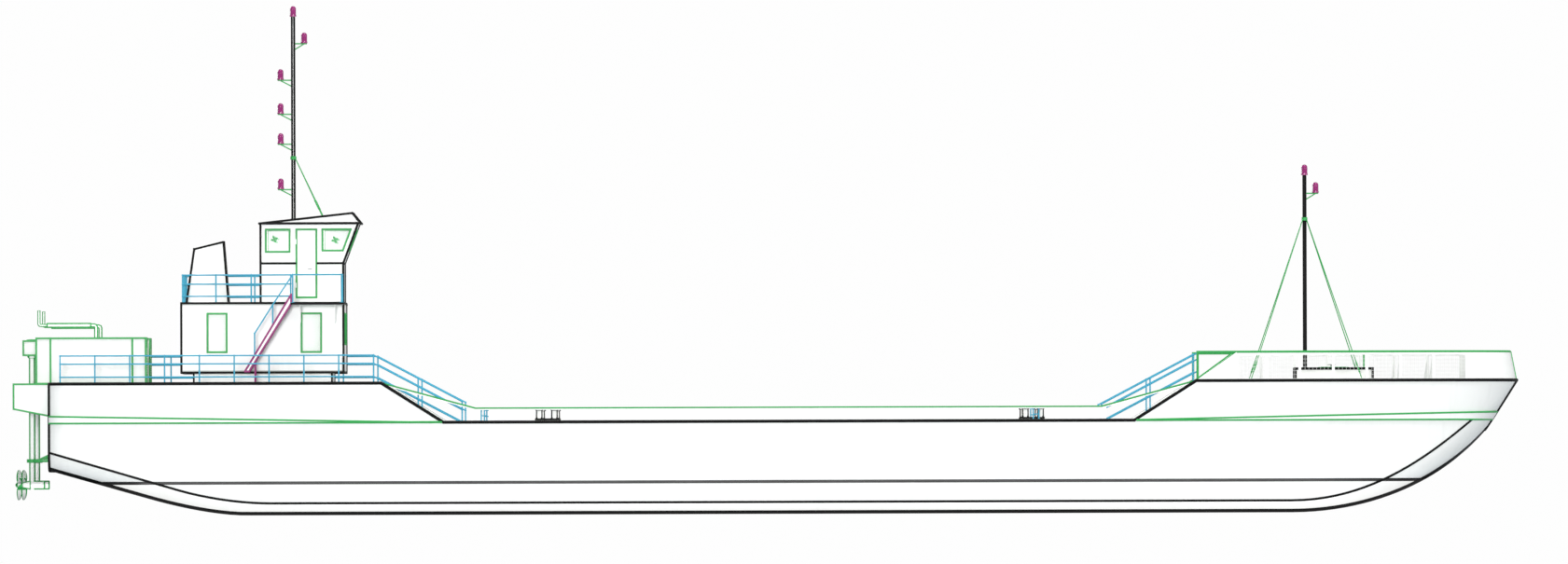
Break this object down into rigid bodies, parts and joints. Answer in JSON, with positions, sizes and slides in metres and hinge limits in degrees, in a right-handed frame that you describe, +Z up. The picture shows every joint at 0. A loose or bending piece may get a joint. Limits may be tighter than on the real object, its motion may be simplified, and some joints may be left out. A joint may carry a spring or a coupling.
{
  "type": "river barge scale model, 1:2",
  "caption": "Flat-bottomed decked river barge with a low cargo deck, raised ends, deckhouse and wheelhouse aft, masts, and turning thrusters over the transom.",
  "frame": {"origin": "on the base line under the flat bottom, at the middle of the overall length and on the centre line", "axes": "+X towards the bow, +Y to port, +Z up"},
  "size_m": [27.255, 5.26, 9.268],
  "materials": {
    "hull_paint": "white hull paint, black boot-top line and deck edges",
    "house_white": "white enamel with black edge bands",
    "fender_green": "semi-gloss green paint",
    "bulwark_green": "semi-gloss green paint",
    "door_green": "white leaf with a green frame",
    "fitting_green": "semi-gloss green machinery paint",
    "stay_green": "green sheathed wire",
    "rail_blue": "light blue paint on pipe",
    "bollard_black": "black paint, worn on the posts",
    "mast_black": "black paint",
    "stair_magenta": "magenta paint",
    "propeller_bronze": "polished bronze",
    "window_glass": "clear tinted glass"
  },
  "bodies": {
    "hull": {"hull_stern": "hull_paint", "hull_mid": "hull_paint", "hull_bow": "hull_paint", "fender_stern": "fender_green", "fender_bow": "fender_green", "bulwark_mid_starboard": "bulwark_green", "bulwark_mid_port": "bulwark_green", "bulwark_bow": "bulwark_green", "rail_deck_starboard": "rail_blue", "rail_deck_port": "rail_blue", "rail_fore_starboard": "rail_blue", "rail_fore_port": "rail_blue", "rail_upper_starboard": "rail_blue", "rail_upper_port": "rail_blue", "rail_stair_starboard": "rail_blue", "rail_stair_port": "rail_blue", "bollard_aft_starboard": "bollard_black", "bollard_aft_port": "bollard_black", "bollard_fore_starboard": "bollard_black", "bollard_fore_port": "bollard_black", "house_plinth": "house_white", "house_floor": "house_white", "house_wall_starboard": "house_white", "house_wall_port": "house_white", "house_wall_aft": "house_white", "house_wall_fore": "house_white", "house_roof": "house_white", "wheelhouse_wall_starboard": "house_white", "wheelhouse_wall_port": "house_white", "wheelhouse_wall_fore": "house_white", "wheelhouse_wall_aft": "house_white", "wheelhouse_roof": "house_white", "funnel": "house_white", "trunk": "house_white", "stair_starboard": "stair_magenta", "stair_port": "stair_magenta", "mast_main": "mast_black", "mast_fore": "mast_black", "stays_main": "stay_green", "stays_fore": "stay_green", "vent": "fitting_green", "stern_platform": "fitting_green", "engine_casing_starboard": "fitting_green", "engine_casing_port": "fitting_green", "exhaust_starboard": "fitting_green", "exhaust_port": "fitting_green", "thruster_bracket_starboard": "fitting_green", "thruster_bracket_port": "fitting_green"},
    "thruster_starboard": {"thruster_leg_starboard": "fitting_green"},
    "thruster_port": {"thruster_leg_port": "fitting_green"},
    "propeller_starboard": {"propeller_starboard": "propeller_bronze"},
    "propeller_port": {"propeller_port": "propeller_bronze"},
    "wheelhouse_door_starboard": {"wheelhouse_door_starboard": "door_green"},
    "wheelhouse_door_port": {"wheelhouse_door_port": "door_green"},
    "house_door": {"house_door": "door_green"},
    "hatch_lid": {"hatch_lid": "door_green"}
  },
  "joints": [
    {"name": "thruster_starboard_turn", "type": "hinge", "parent": "hull", "child": "thruster_starboard", "pos_m": [-13.309, -1.5, 1], "axis": [0, 0, 1], "continuous": true},
    {"name": "propeller_starboard_spin", "type": "hinge", "parent": "thruster_starboard", "child": "propeller_starboard", "pos_m": [-13.5425, -1.5, 0.56], "axis": [1, 0, 0], "continuous": true},
    {"name": "wheelhouse_door_starboard_hinge", "type": "hinge", "parent": "hull", "child": "wheelhouse_door_starboard", "pos_m": [-8.5285, -0.8875, 4.5], "axis": [0, 0, -1], "range_deg": [0, 110]},
    {"name": "thruster_port_turn", "type": "hinge", "parent": "hull", "child": "thruster_port", "pos_m": [-13.309, 1.5, 1], "axis": [0, 0, 1], "continuous": true},
    {"name": "propeller_port_spin", "type": "hinge", "parent": "thruster_port", "child": "propeller_port", "pos_m": [-13.5425, 1.5, 0.56], "axis": [1, 0, 0], "continuous": true},
    {"name": "wheelhouse_door_port_hinge", "type": "hinge", "parent": "hull", "child": "wheelhouse_door_port", "pos_m": [-8.5285, 0.8875, 4.5], "axis": [0, 0, 1], "range_deg": [0, 110]},
    {"name": "house_door_hinge", "type": "hinge", "parent": "hull", "child": "house_door", "pos_m": [-10.61, -0.2, 3], "axis": [0, 0, 1], "range_deg": [0, 110]},
    {"name": "hatch_hinge", "type": "hinge", "parent": "hull", "child": "hatch_lid", "pos_m": [10.6025, 0, 2.6275], "axis": [0, 1, 0], "range_deg": [0, 95]}
  ]
}
